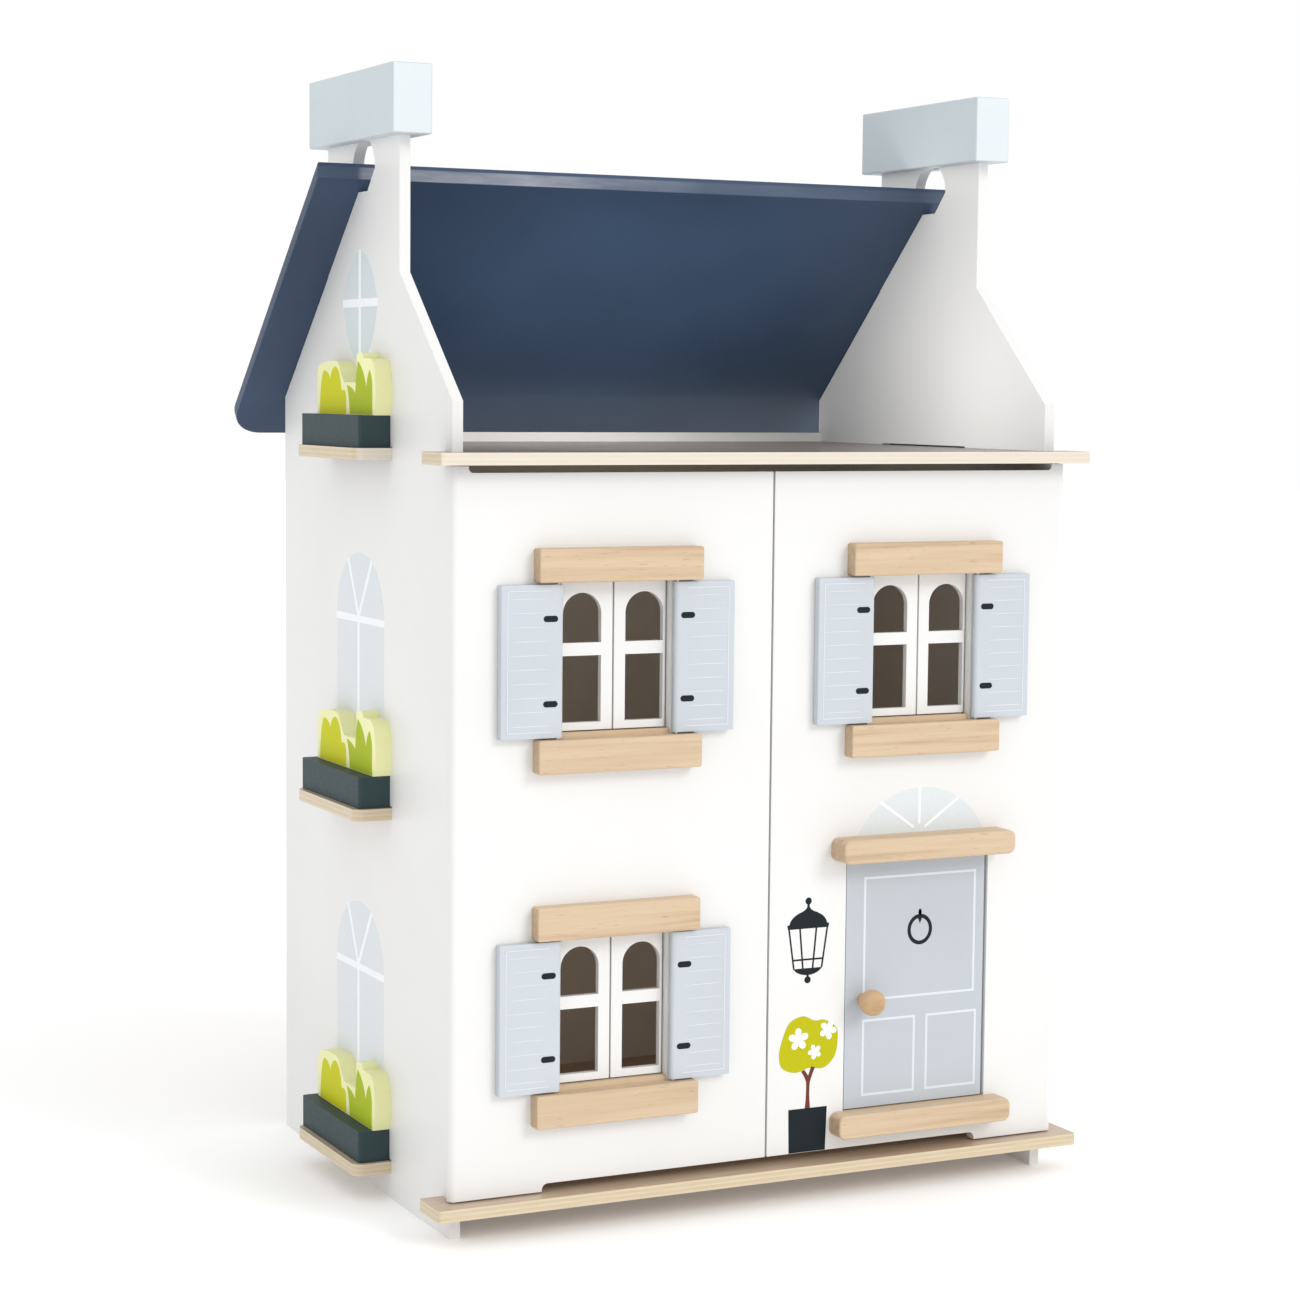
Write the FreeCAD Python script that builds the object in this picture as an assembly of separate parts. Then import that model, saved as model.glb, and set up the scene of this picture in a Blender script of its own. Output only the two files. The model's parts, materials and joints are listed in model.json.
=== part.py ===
import FreeCAD, Part
import math
import os
from FreeCAD import Vector

# Wooden dollhouse: two gable boards with chimney stacks, three floor boards whose tenons pass
# through the gables as window-box shelves, a back panel, two front panels that swing on pins,
# a front door, three windows with shutters and casements, and a roof board on the rear slopes.
# Millimetres. +Z is up, +X is to the right of someone facing the front, +Y is towards the back.
# The origin is on the ground, midway between the gables and midway along them.

# House body
HALF_WIDTH = 215.0
HALF_DEPTH = 153.0
GABLE_T = 7.5
GABLE_IN = HALF_WIDTH - GABLE_T
FLOOR_T = 7.6
BASE_Z = 17.0
MIDDLE_Z = 246.2
ATTIC_Z = 474.8
FLOOR_LEVELS = (BASE_Z, MIDDLE_Z, ATTIC_Z)
BACK_T = 4.0
BACK_TOP = 489.0
BACK_Y = HALF_DEPTH - BACK_T

# Gable outline, chimney stack and the slot that the roof board slides in
EAVE_Z = 513.0
SLOPE = 0.905
SLOPE_COS = 1.0 / math.hypot(1.0, SLOPE)
STACK_HALF = 65.5
STACK_TOP = 700.0
ARCH_Y = -2.3
ARCH_Z = 659.0
ARCH_R = 20.2
SEAT_Z = 645.0
SEAT_FRONT = -9.0
EDGE_ROUND = 0.7
SLOT_MOUTH = 10.0

# Roof board
ROOF_T = 7.5
ROOF_GAP = 0.2
ROOF_CLEARANCE = 0.8
ROOF_SLOT = ROOF_T + ROOF_GAP + ROOF_CLEARANCE
ROOF_HALF = 245.5
ROOF_RIDGE_Y = -1.0
ROOF_LOW_Y = 181.5
ROOF_CORNER_R = 22.0

# Chimney caps
CAP_Z = 676.6
CAP_TOP = 720.0
CAP_HALF_Y = 77.0
CAP_IN = 197.5
CAP_OUT = 224.0
CAP_ROUND = 1.2

# Floor boards: front lip with ears, and the tenons that carry the window boxes
LIP = 20.6
EAR_DEPTH = 32.0
EAR_HALF = 230.4
EAR_ROUND = 2.0
TENON_OUT = 240.0
TENON_Y0 = -54.0
TENON_Y1 = 58.6
TENON_CORNER_R = 7.0
MORTISE_GAP = 0.8

# Window boxes and the plants in them
TROUGH_DEPTH = 21.0
TROUGH_Y0 = -50.6
TROUGH_Y1 = 58.6
TROUGH_H = 20.4
PLANT_T = 11.3
PLANT_Y1 = 54.0
PLANT_TENON_Z = 9.0
PLANT_FOOT_IN = 6.0
PLANT_DIP_H = 41.0

# Front panels
PANEL_T = 8.3
PANEL_BACK = -HALF_DEPTH - 0.5
PANEL_FRONT = PANEL_BACK - PANEL_T
PANEL_Y = (PANEL_FRONT + PANEL_BACK) / 2.0
PANEL_EDGE_R = PANEL_T / 2.0
PANEL_PIVOT_X = 214.25
PANEL_SPLIT = 0.75
PANEL_Z0 = 25.6
PANEL_Z1 = 474.0
TOP_RELIEF = 4.0
TOP_RELIEF_X = 207.5
GRIP_H = 5.0
GRIP_X = 157.0
RELIEF_ROUND = 3.0
GRIP_ROUND = 4.0
PANEL_PIN_R = 1.5
PANEL_PIN_IN_FLOOR = 5.0
PANEL_PIN_IN_PANEL = 12.0

# Bored pin holes are this much deeper than the pins go in
PIN_HOLE_SPARE = 0.5

# Windows: heights are counted from the top of the sill's front part
WINDOW_X = 109.3
UPPER_SILL = 307.6
LOWER_SILL = 88.0
WINDOW_H = 96.0
WINDOW_BLOCK_HALF = 55.5
WINDOW_BLOCK_H = 20.8
WINDOW_PROUD = 10.0
WINDOW_HALF_OPEN = 37.4
BLOCK_ROUND = 1.6
BLOCK_FACE_ROUND = 0.6
BLOCK_TONGUE = 8.5
BLOCK_PIN_IN = 7.0
SILL_STEP = 3.2

# Shutters
SHUTTER_T = 5.5
SHUTTER_GAP = 0.35
SHUTTER_AXIS = 40.5
SHUTTER_OUT = 79.25
SHUTTER_Z0 = 1.2
SHUTTER_Z1 = 94.8
SHUTTER_PIN_R = 1.0
SHUTTER_PIN_IN = 7.0
SHUTTER_Y = PANEL_FRONT - SHUTTER_GAP - SHUTTER_T / 2.0

# Casements
SASH_T = 4.3
SASH_IN = 0.6
SASH_AXIS = 34.5
SASH_Z0 = 4.0
SASH_Z1 = 95.2
SASH_PANE_IN = 8.2
SASH_PANE_OUT = 34.2
SASH_LOW_PANE = (8.8, 50.0)
SASH_HIGH_PANE_Z0 = 57.9
SASH_ARCH_TOP = 88.7
SASH_PIN_R = 0.75
SASH_PIN_IN = 3.6
SASH_BLOCK_PIN_IN = 6.0
SASH_Y = PANEL_BACK - SASH_T / 2.0

# House door
DOOR_X0 = 57.0
DOOR_X1 = 163.4
DOOR_Z0 = 55.8
DOOR_Z1 = 218.6
DOOR_T = 7.9
DOOR_Y = PANEL_Y
DOOR_AXIS_X = DOOR_X1 - DOOR_T / 2.0
DOOR_GAP = 0.6
DOOR_PIN_R = 1.0
DOOR_PIN_IN = 9.0
DOOR_LINTEL = (45.0, 174.0, 219.4, 234.9)
DOOR_LINTEL_PROUD = 18.0
THRESHOLD = (46.5, 176.5, 39.4, 55.0)
THRESHOLD_PROUD = 14.0
DOOR_BLOCK_CORNER = 5.0
KNOB_X = 70.0
KNOB_Z = 127.5
KNOB_R = 8.5
KNOB_NECK_R = 4.0
KNOB_CENTRE = 12.9
KNOB_SCREW_R = 1.5
KNOB_SCREW_HEAD_R = 3.0
KNOB_SCREW_TIP = 2.0

# Pins run in holes this much wider all round
RUNNING = 0.06

# Cross recess in the screws' heads
CROSS_HALF = 1.6
CROSS_BLADE = 0.4
CROSS_DEPTH = 1.0

# Back panel screws
SCREW_R = 1.3
SCREW_HEAD_R = 2.8
SCREW_LENGTH = 14.0
SCREW_X = (-180.0, -60.0, 60.0, 180.0)

# How far cutters reach past the faces they cut
PAST = 1.0


def box(x0, x1, y0, y1, z0, z1):
    return Part.makeBox(x1 - x0, y1 - y0, z1 - z0, Vector(x0, y0, z0))


def pin(radius, x, y, z0, z1):
    return Part.makeCylinder(radius, z1 - z0, Vector(x, y, z0), Vector(0, 0, 1))


def rod_y(radius, x, z, y0, y1):
    return Part.makeCylinder(radius, y1 - y0, Vector(x, y0, z), Vector(0, 1, 0))


def mirrored(shape):
    return shape.mirror(Vector(0, 0, 0), Vector(1, 0, 0))


def save(name, shape):
    solids = shape if isinstance(shape, list) else [shape]
    for solid in solids:
        if not solid.isValid() or solid.Volume <= 0:
            raise ValueError(name + " is not a valid solid")
    whole = Part.makeCompound(solids) if len(solids) > 1 else solids[0]
    whole.exportStep("parts/" + name + ".step")


def edges_along(shape, axis):
    """The straight edges that run along one axis."""
    found = []
    for edge in shape.Edges:
        start = edge.Vertexes[0].Point
        end = edge.Vertexes[-1].Point
        run = end - start
        if isinstance(edge.Curve, Part.Line) and abs(abs(run.dot(axis)) - run.Length) < 1e-6:
            found.append(edge)
    return found


def edges_flat_at(shape, index, levels):
    """The edges that lie in a plane square to axis number index at one of the levels."""
    found = []
    for edge in shape.Edges:
        limits = edge.BoundBox
        low = (limits.XMin, limits.YMin, limits.ZMin)[index]
        high = (limits.XMax, limits.YMax, limits.ZMax)[index]
        if any(abs(low - level) < 1e-4 and abs(high - level) < 1e-4 for level in levels):
            found.append(edge)
    return found


def slope_z(y):
    """Height of the gable's straight slope, or of its line carried on to the ridge."""
    return EAVE_Z + SLOPE * (HALF_DEPTH - y)


def outline_wire(steps):
    """A closed wire from points, where a pair of points is an arc through the first to the second."""
    edges = []
    last = steps[0]
    for step in steps[1:] + [steps[0]]:
        if isinstance(step, tuple):
            edges.append(Part.Arc(last, step[0], step[1]).toShape())
            last = step[1]
        else:
            edges.append(Part.LineSegment(last, step).toShape())
            last = step
    return Part.Wire(edges)


def roof_slot(x):
    """The slot through a stack: open along the rear slope, with an arch at its upper end."""

    def at(y, z):
        return Vector(x, y, z)

    rise = ROOF_SLOT / SLOPE_COS
    mouth = STACK_HALF + SLOT_MOUTH
    arch_back = ARCH_Y + ARCH_R
    seat_back = HALF_DEPTH - (SEAT_Z - EAVE_Z) / SLOPE
    steps = [
        at(mouth, slope_z(mouth) + rise),
        at(arch_back, slope_z(arch_back) + rise),
        at(arch_back, ARCH_Z),
        (at(ARCH_Y, ARCH_Z + ARCH_R), at(ARCH_Y - ARCH_R, ARCH_Z)),
        at(SEAT_FRONT, SEAT_Z),
        at(seat_back, SEAT_Z),
        at(mouth, slope_z(mouth)),
    ]
    return Part.Face(outline_wire(steps)).extrude(Vector(GABLE_T, 0, 0))


def gable_board():
    """The right gable: walls, both slopes, and the chimney stack with its roof slot."""

    def at(y, z):
        return Vector(GABLE_IN, y, z)

    stack_foot = slope_z(STACK_HALF)
    steps = [
        at(-HALF_DEPTH, 0),
        at(-HALF_DEPTH, EAVE_Z),
        at(-STACK_HALF, stack_foot),
        at(-STACK_HALF, STACK_TOP),
        at(STACK_HALF, STACK_TOP),
        at(STACK_HALF, stack_foot),
        at(HALF_DEPTH, EAVE_Z),
        at(HALF_DEPTH, 0),
    ]
    board = Part.Face(outline_wire(steps)).extrude(Vector(GABLE_T, 0, 0))
    board = board.makeFillet(EDGE_ROUND, edges_flat_at(board, 0, (GABLE_IN, HALF_WIDTH)))
    board = board.cut(roof_slot(GABLE_IN))
    near = GABLE_IN - PAST
    far = HALF_WIDTH + PAST
    for level in FLOOR_LEVELS:
        mortise_top = level + FLOOR_T + MORTISE_GAP
        board = board.cut(box(near, far, TENON_Y0, TENON_Y1, level, mortise_top))
    for level in (BASE_Z, ATTIC_Z):
        notch_end = -HALF_DEPTH - LIP + EAR_DEPTH
        board = board.cut(box(near, far, -HALF_DEPTH - PAST, notch_end, level, level + FLOOR_T))
    return board


def floor_board(level, with_lip):
    """A floor between the gables, with a tenon through each gable and, on two of them, a lip."""
    top = level + FLOOR_T
    front = -HALF_DEPTH
    if with_lip:
        front = -HALF_DEPTH - LIP
    board = box(-GABLE_IN, GABLE_IN, front, BACK_Y, level, top)
    for side in (-1, 1):
        near, far = sorted((side * (GABLE_IN - PAST), side * TENON_OUT))
        tenon = box(near, far, TENON_Y0, TENON_Y1, level, top)
        outer = [
            edge
            for edge in edges_along(tenon, Vector(0, 0, 1))
            if abs(edge.Vertexes[0].Point.x - side * TENON_OUT) < 1e-6
        ]
        board = board.fuse(tenon.makeFillet(TENON_CORNER_R, outer))
    if with_lip:
        lip = box(-EAR_HALF, EAR_HALF, front, front + EAR_DEPTH, level, top)
        lip = lip.makeFillet(EAR_ROUND, edges_along(lip, Vector(0, 0, 1)))
        board = board.fuse(lip)
    return board.removeSplitter()


def floor_with_pin_holes(level, hole_z0, hole_z1):
    """A lipped floor board with the two holes that grip the front panels' pins."""
    board = floor_board(level, True)
    for side in (-1, 1):
        board = board.cut(pin(PANEL_PIN_R, side * PANEL_PIVOT_X, PANEL_Y, hole_z0, hole_z1))
    return board


def back_panel():
    panel = box(-GABLE_IN, GABLE_IN, BACK_Y, HALF_DEPTH, BASE_Z, BACK_TOP)
    for x in SCREW_X:
        for level in FLOOR_LEVELS:
            panel = panel.cut(back_screw(x, level + FLOOR_T / 2.0))
    return panel


def back_screw(x, z):
    """A countersunk screw driven forwards through the back panel into a floor board."""
    head_depth = SCREW_HEAD_R - SCREW_R
    shank = rod_y(SCREW_R, x, z, HALF_DEPTH - SCREW_LENGTH, HALF_DEPTH - head_depth)
    head = Part.makeCone(
        SCREW_HEAD_R, SCREW_R, head_depth, Vector(x, HALF_DEPTH, z), Vector(0, -1, 0)
    )
    return shank.fuse(head).removeSplitter()


def crossed(screw, x, y, z):
    """A screw with a cross recess in its head, whose face is at y."""
    front = y - CROSS_DEPTH
    back = y + PAST
    level_blade = box(x - CROSS_HALF, x + CROSS_HALF, front, back, z - CROSS_BLADE, z + CROSS_BLADE)
    upright_blade = box(x - CROSS_BLADE, x + CROSS_BLADE, front, back, z - CROSS_HALF, z + CROSS_HALF)
    return screw.cut(level_blade).cut(upright_blade)


def chimney_cap():
    """The right cap, a block with a groove for the top of the stack."""
    block = box(CAP_IN, CAP_OUT, -CAP_HALF_Y, CAP_HALF_Y, CAP_Z, CAP_TOP)
    block = block.makeFillet(CAP_ROUND, block.Edges)
    groove = box(GABLE_IN, HALF_WIDTH, -STACK_HALF, STACK_HALF, CAP_Z - PAST, STACK_TOP)
    return block.cut(groove)


def roof_board():
    """The board on the rear slopes, cut plumb at the ridge and rounded at its low corners."""
    lift = ROOF_GAP / SLOPE_COS
    rise = ROOF_T / SLOPE_COS
    low_top_y = ROOF_LOW_Y + ROOF_T * SLOPE * SLOPE_COS
    low_top_z = slope_z(ROOF_LOW_Y) + lift + ROOF_T * SLOPE_COS
    steps = [
        Vector(-ROOF_HALF, ROOF_RIDGE_Y, slope_z(ROOF_RIDGE_Y) + lift),
        Vector(-ROOF_HALF, ROOF_RIDGE_Y, slope_z(ROOF_RIDGE_Y) + lift + rise),
        Vector(-ROOF_HALF, low_top_y, low_top_z),
        Vector(-ROOF_HALF, ROOF_LOW_Y, slope_z(ROOF_LOW_Y) + lift),
    ]
    board = Part.Face(outline_wire(steps)).extrude(Vector(2 * ROOF_HALF, 0, 0))
    low_end = Vector(0, ROOF_T * SLOPE * SLOPE_COS, ROOF_T * SLOPE_COS)
    corners = []
    for edge in board.Edges:
        run = edge.Vertexes[-1].Point - edge.Vertexes[0].Point
        if abs(abs(run.dot(low_end)) - ROOF_T * ROOF_T) < 1e-4 and abs(run.Length - ROOF_T) < 1e-4:
            corners.append(edge)
    return board.makeFillet(ROOF_CORNER_R, corners)


def trough(level):
    """A painted block on the right gable's shelf, with a pocket for the plants' foot."""
    block = box(
        HALF_WIDTH, HALF_WIDTH + TROUGH_DEPTH, TROUGH_Y0, TROUGH_Y1, level, level + TROUGH_H
    )
    outer = [
        edge
        for edge in edges_along(block, Vector(0, 0, 1))
        if edge.Vertexes[0].Point.x > HALF_WIDTH + PAST
    ]
    block = block.makeFillet(EAR_ROUND, outer)
    pocket = box(
        HALF_WIDTH - PAST,
        HALF_WIDTH + PLANT_T,
        TROUGH_Y0 + PLANT_FOOT_IN,
        PLANT_Y1 - PLANT_FOOT_IN,
        level + PLANT_TENON_Z,
        level + TROUGH_H + PAST,
    )
    return block.cut(pocket)


def plants(level):
    """A thick board cut as two bushes with a dip between them, its foot let into the trough."""

    def at(y, height):
        return Vector(HALF_WIDTH, y, level + height)

    foot_front = TROUGH_Y0 + PLANT_FOOT_IN
    foot_back = PLANT_Y1 - PLANT_FOOT_IN
    front_bush = [
        at(TROUGH_Y0, TROUGH_H),
        (at(-54.2, 36.0), at(-52.5, 46.0)),
        (at(-49.5, 53.5), at(-43.0, 56.0)),
        at(-32.0, 56.3),
        (at(-30.6, 59.0), at(-27.0, 59.6)),
        at(-23.0, 59.6),
        (at(-20.8, 58.9), at(-20.0, 56.0)),
        at(-20.0, 43.5),
        (at(-19.2, 41.7), at(-17.3, PLANT_DIP_H)),
    ]
    rear_bush = [
        at(3.0, PLANT_DIP_H),
        (at(8.5, 46.0), at(13.0, 52.0)),
        (at(15.5, 54.0), at(19.0, 54.6)),
        (at(36.0, 54.4), at(47.0, 52.8)),
        (at(52.3, 50.4), at(PLANT_Y1, 45.0)),
        at(PLANT_Y1, TROUGH_H),
    ]
    foot = [
        at(foot_back, TROUGH_H),
        at(foot_back, PLANT_TENON_Z),
        at(foot_front, PLANT_TENON_Z),
        at(foot_front, TROUGH_H),
    ]
    wire = outline_wire(front_bush + rear_bush + foot)
    return Part.Face(wire).extrude(Vector(PLANT_T, 0, 0))


def bare_panel():
    """The right front panel before its openings: rounded pivot edge, reliefs at top and bottom."""
    board = box(PANEL_SPLIT, PANEL_PIVOT_X, PANEL_FRONT, PANEL_BACK, PANEL_Z0, PANEL_Z1)
    board = board.fuse(pin(PANEL_EDGE_R, PANEL_PIVOT_X, PANEL_Y, PANEL_Z0, PANEL_Z1))
    board = board.removeSplitter()
    front = PANEL_FRONT - PAST
    back = PANEL_BACK + PAST
    relief_z = PANEL_Z1 - TOP_RELIEF
    relief = box(-PAST, TOP_RELIEF_X, front, back, relief_z, PANEL_Z1 + PAST)
    relief = relief.makeFillet(RELIEF_ROUND, outer_edge_at(relief, relief_z))
    grip_z = PANEL_Z0 + GRIP_H
    grip = box(-PAST, GRIP_X, front, back, PANEL_Z0 - PAST, grip_z)
    grip = grip.makeFillet(GRIP_ROUND, outer_edge_at(grip, grip_z))
    board = board.cut(relief).cut(grip)
    for z0, z1 in (
        (PANEL_Z0, PANEL_Z0 + PANEL_PIN_IN_PANEL),
        (PANEL_Z1 - PANEL_PIN_IN_PANEL, PANEL_Z1),
    ):
        board = board.cut(pin(PANEL_PIN_R + RUNNING, PANEL_PIVOT_X, PANEL_Y, z0, z1))
    return board


def outer_edge_at(shape, level):
    """The front-to-back edge of a cutter at one height, on its outer side."""
    far = shape.BoundBox.XMax
    return [
        edge
        for edge in edges_along(shape, Vector(0, 1, 0))
        if abs(edge.Vertexes[0].Point.z - level) < 1e-6
        and abs(edge.Vertexes[0].Point.x - far) < 1e-6
    ]


def window_hole(centre, sill):
    return box(
        centre - WINDOW_HALF_OPEN,
        centre + WINDOW_HALF_OPEN,
        PANEL_FRONT - PAST,
        PANEL_BACK + PAST,
        sill - BLOCK_TONGUE,
        sill + WINDOW_H + BLOCK_TONGUE,
    )


def door_hole():
    return box(
        DOOR_X0 - DOOR_GAP,
        DOOR_X1 + DOOR_GAP,
        PANEL_FRONT - PAST,
        PANEL_BACK + PAST,
        THRESHOLD[3] - BLOCK_TONGUE,
        DOOR_LINTEL[2] + BLOCK_TONGUE,
    )


def front_block(x0, x1, proud, z0, z1, corner):
    """A rounded wooden block glued to the face of a front panel."""
    block = box(x0, x1, PANEL_FRONT - proud, PANEL_FRONT, z0, z1)
    block = block.makeFillet(corner, edges_along(block, Vector(0, 1, 0)))
    front = edges_flat_at(block, 1, (PANEL_FRONT - proud,))
    return block.makeFillet(min(BLOCK_ROUND, corner * BLOCK_FACE_ROUND), front)


def window_lintel(centre, sill):
    low = sill + WINDOW_H
    block = front_block(
        centre - WINDOW_BLOCK_HALF,
        centre + WINDOW_BLOCK_HALF,
        WINDOW_PROUD,
        low,
        low + WINDOW_BLOCK_H,
        BLOCK_ROUND,
    )
    tongue = box(
        centre - WINDOW_HALF_OPEN,
        centre + WINDOW_HALF_OPEN,
        PANEL_FRONT,
        PANEL_BACK,
        low,
        low + BLOCK_TONGUE,
    )
    return drilled_for_pins(block.fuse(tongue), window_pins(centre, sill))


def window_sill(centre, sill):
    block = front_block(
        centre - WINDOW_BLOCK_HALF,
        centre + WINDOW_BLOCK_HALF,
        WINDOW_PROUD,
        sill - WINDOW_BLOCK_H,
        sill,
        BLOCK_ROUND,
    )
    tongue = box(
        centre - WINDOW_HALF_OPEN,
        centre + WINDOW_HALF_OPEN,
        PANEL_FRONT,
        PANEL_BACK,
        sill - BLOCK_TONGUE,
        sill + SILL_STEP,
    )
    return drilled_for_pins(block.fuse(tongue), window_pins(centre, sill))


def drilled_for_pins(block, pins):
    for solid in pins:
        block = block.cut(solid)
    return block


def window_pins(centre, sill):
    """The eight steel pins of one window: a top and a bottom one for each shutter and casement."""
    pins = []
    for side in (-1, 1):
        x = centre + side * SHUTTER_AXIS
        low = sill + SHUTTER_Z0 + SHUTTER_PIN_IN
        high = sill + SHUTTER_Z1 - SHUTTER_PIN_IN
        pins.append(pin(SHUTTER_PIN_R, x, SHUTTER_Y, sill - BLOCK_PIN_IN, low))
        pins.append(pin(SHUTTER_PIN_R, x, SHUTTER_Y, high, sill + WINDOW_H + BLOCK_PIN_IN))
        x = centre + side * SASH_AXIS
        low = sill + SASH_Z0 + SASH_PIN_IN
        high = sill + SASH_Z1 - SASH_PIN_IN
        pins.append(pin(SASH_PIN_R, x, SASH_Y, sill - SASH_BLOCK_PIN_IN, low))
        pins.append(pin(SASH_PIN_R, x, SASH_Y, high, sill + WINDOW_H + SASH_BLOCK_PIN_IN))
    return pins


def shutter(centre, sill, side):
    """A shutter standing open, its inner edge rounded about the pins."""
    axis = centre + side * SHUTTER_AXIS
    z0 = sill + SHUTTER_Z0
    z1 = sill + SHUTTER_Z1
    near, far = sorted((axis, centre + side * SHUTTER_OUT))
    back = SHUTTER_Y + SHUTTER_T / 2.0
    leaf = box(near, far, SHUTTER_Y - SHUTTER_T / 2.0, back, z0, z1)
    free = [
        edge
        for edge in leaf.Edges
        if abs(edge.BoundBox.XMin - (centre + side * SHUTTER_OUT)) < 1e-6
        and abs(edge.BoundBox.XMax - (centre + side * SHUTTER_OUT)) < 1e-6
    ]
    leaf = leaf.makeFillet(EDGE_ROUND, free)
    leaf = leaf.fuse(pin(SHUTTER_T / 2.0, axis, SHUTTER_Y, z0, z1)).removeSplitter()
    depth = SHUTTER_PIN_IN + PIN_HOLE_SPARE
    for low, high in ((z0, z0 + depth), (z1 - depth, z1)):
        leaf = leaf.cut(pin(SHUTTER_PIN_R + RUNNING, axis, SHUTTER_Y, low, high))
    return leaf


def casement(centre, sill, side):
    """A window sash with an arched pane over a square one, its outer edge rounded on the pins."""
    axis = centre + side * SASH_AXIS
    z0 = sill + SASH_Z0
    z1 = sill + SASH_Z1
    front = SASH_Y - SASH_T / 2.0
    back = SASH_Y + SASH_T / 2.0
    near, far = sorted((centre + side * SASH_IN, axis))
    frame = box(near, far, front, back, z0, z1)
    frame = frame.fuse(pin(SASH_T / 2.0, axis, SASH_Y, z0, z1)).removeSplitter()
    left, right = sorted((centre + side * SASH_PANE_IN, centre + side * SASH_PANE_OUT))
    low0, low1 = SASH_LOW_PANE
    frame = frame.cut(box(left, right, front - PAST, back + PAST, sill + low0, sill + low1))
    radius = (right - left) / 2.0
    spring = sill + SASH_ARCH_TOP - radius
    arch = box(left, right, front - PAST, back + PAST, sill + SASH_HIGH_PANE_Z0, spring)
    arch = arch.fuse(rod_y(radius, (left + right) / 2.0, spring, front - PAST, back + PAST))
    frame = frame.cut(arch)
    depth = SASH_PIN_IN + PIN_HOLE_SPARE
    for low, high in ((z0, z0 + depth), (z1 - depth, z1)):
        frame = frame.cut(pin(SASH_PIN_R + RUNNING, axis, SASH_Y, low, high))
    return frame


def door_pins():
    low = pin(DOOR_PIN_R, DOOR_AXIS_X, DOOR_Y, THRESHOLD[3] - BLOCK_PIN_IN, DOOR_Z0 + DOOR_PIN_IN)
    top = DOOR_LINTEL[2] + BLOCK_PIN_IN
    high = pin(DOOR_PIN_R, DOOR_AXIS_X, DOOR_Y, DOOR_Z1 - DOOR_PIN_IN, top)
    return [low, high]


def door_block(extent, proud, tongue_z0, tongue_z1):
    """The lintel or threshold of the door, with the tongue that fills the end of its opening."""
    x0, x1, z0, z1 = extent
    block = front_block(x0, x1, proud, z0, z1, DOOR_BLOCK_CORNER)
    tongue = box(
        DOOR_X0 - DOOR_GAP, DOOR_X1 + DOOR_GAP, PANEL_FRONT, PANEL_BACK, tongue_z0, tongue_z1
    )
    return drilled_for_pins(block.fuse(tongue), door_pins())


def house_door():
    front = DOOR_Y - DOOR_T / 2.0
    back = DOOR_Y + DOOR_T / 2.0
    leaf = box(DOOR_X0, DOOR_AXIS_X, front, back, DOOR_Z0, DOOR_Z1)
    leaf = leaf.fuse(pin(DOOR_T / 2.0, DOOR_AXIS_X, DOOR_Y, DOOR_Z0, DOOR_Z1)).removeSplitter()
    depth = DOOR_PIN_IN + PIN_HOLE_SPARE
    for low, high in ((DOOR_Z0, DOOR_Z0 + depth), (DOOR_Z1 - depth, DOOR_Z1)):
        leaf = leaf.cut(pin(DOOR_PIN_R + RUNNING, DOOR_AXIS_X, DOOR_Y, low, high))
    return leaf.cut(knob_screw())


def knob_screw():
    """A countersunk screw from inside the door, into the knob's neck."""
    back = DOOR_Y + DOOR_T / 2.0
    tip = DOOR_Y - DOOR_T / 2.0 - KNOB_CENTRE + KNOB_SCREW_TIP
    depth = KNOB_SCREW_HEAD_R - KNOB_SCREW_R
    shank = rod_y(KNOB_SCREW_R, KNOB_X, KNOB_Z, tip, back - depth)
    head = Part.makeCone(
        KNOB_SCREW_HEAD_R, KNOB_SCREW_R, depth, Vector(KNOB_X, back, KNOB_Z), Vector(0, -1, 0)
    )
    return shank.fuse(head).removeSplitter()


def door_knob():
    """A turned ball on a short neck."""
    front = DOOR_Y - DOOR_T / 2.0
    ball = Part.makeSphere(KNOB_R, Vector(KNOB_X, front - KNOB_CENTRE, KNOB_Z))
    neck = rod_y(KNOB_NECK_R, KNOB_X, KNOB_Z, front - KNOB_CENTRE, front)
    return ball.fuse(neck).cut(knob_screw())


def panel_pins():
    """The four steel pins that the front panels turn on, gripped by the base and the attic floor."""
    pins = []
    floor_top = BASE_Z + FLOOR_T
    for side in (-1, 1):
        x = side * PANEL_PIVOT_X
        low_end = PANEL_Z0 + PANEL_PIN_IN_PANEL - PIN_HOLE_SPARE
        high_end = PANEL_Z1 - PANEL_PIN_IN_PANEL + PIN_HOLE_SPARE
        pins.append(pin(PANEL_PIN_R, x, PANEL_Y, floor_top - PANEL_PIN_IN_FLOOR, low_end))
        pins.append(pin(PANEL_PIN_R, x, PANEL_Y, high_end, ATTIC_Z + PANEL_PIN_IN_FLOOR))
    return pins


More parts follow.
